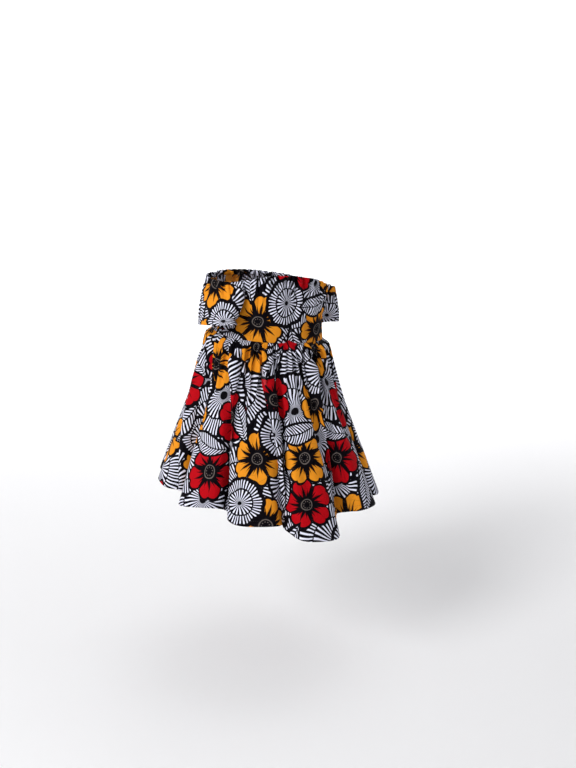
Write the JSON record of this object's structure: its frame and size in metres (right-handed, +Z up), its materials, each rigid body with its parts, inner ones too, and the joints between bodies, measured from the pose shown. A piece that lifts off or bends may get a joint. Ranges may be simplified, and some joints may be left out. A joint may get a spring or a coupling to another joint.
{
  "type": "ankara wax print dress",
  "caption": "Toddler's off-the-shoulder dress in wax print cotton, with a gathered neckline, short sleeves and a full gathered skirt, hollow as worn",
  "frame": {"origin": "centre of the neckline opening, level with the middle of its front edge", "axes": "+Z up, out of the neckline; the front faces -Y, and the wearer's right side is at -X"},
  "size_m": [0.3741, 0.3914, 0.3957],
  "materials": {
    "bodice_cotton": "matt wax print cotton",
    "sleeve_cotton": "matt wax print cotton",
    "skirt_cotton": "matt wax print cotton"
  },
  "bodies": {
    "root": {"bodice_front": "bodice_cotton", "bodice_back": "bodice_cotton", "sleeve_right": "sleeve_cotton", "sleeve_left": "sleeve_cotton", "skirt_front": "skirt_cotton", "skirt_back": "skirt_cotton"}
  },
  "joints": []
}
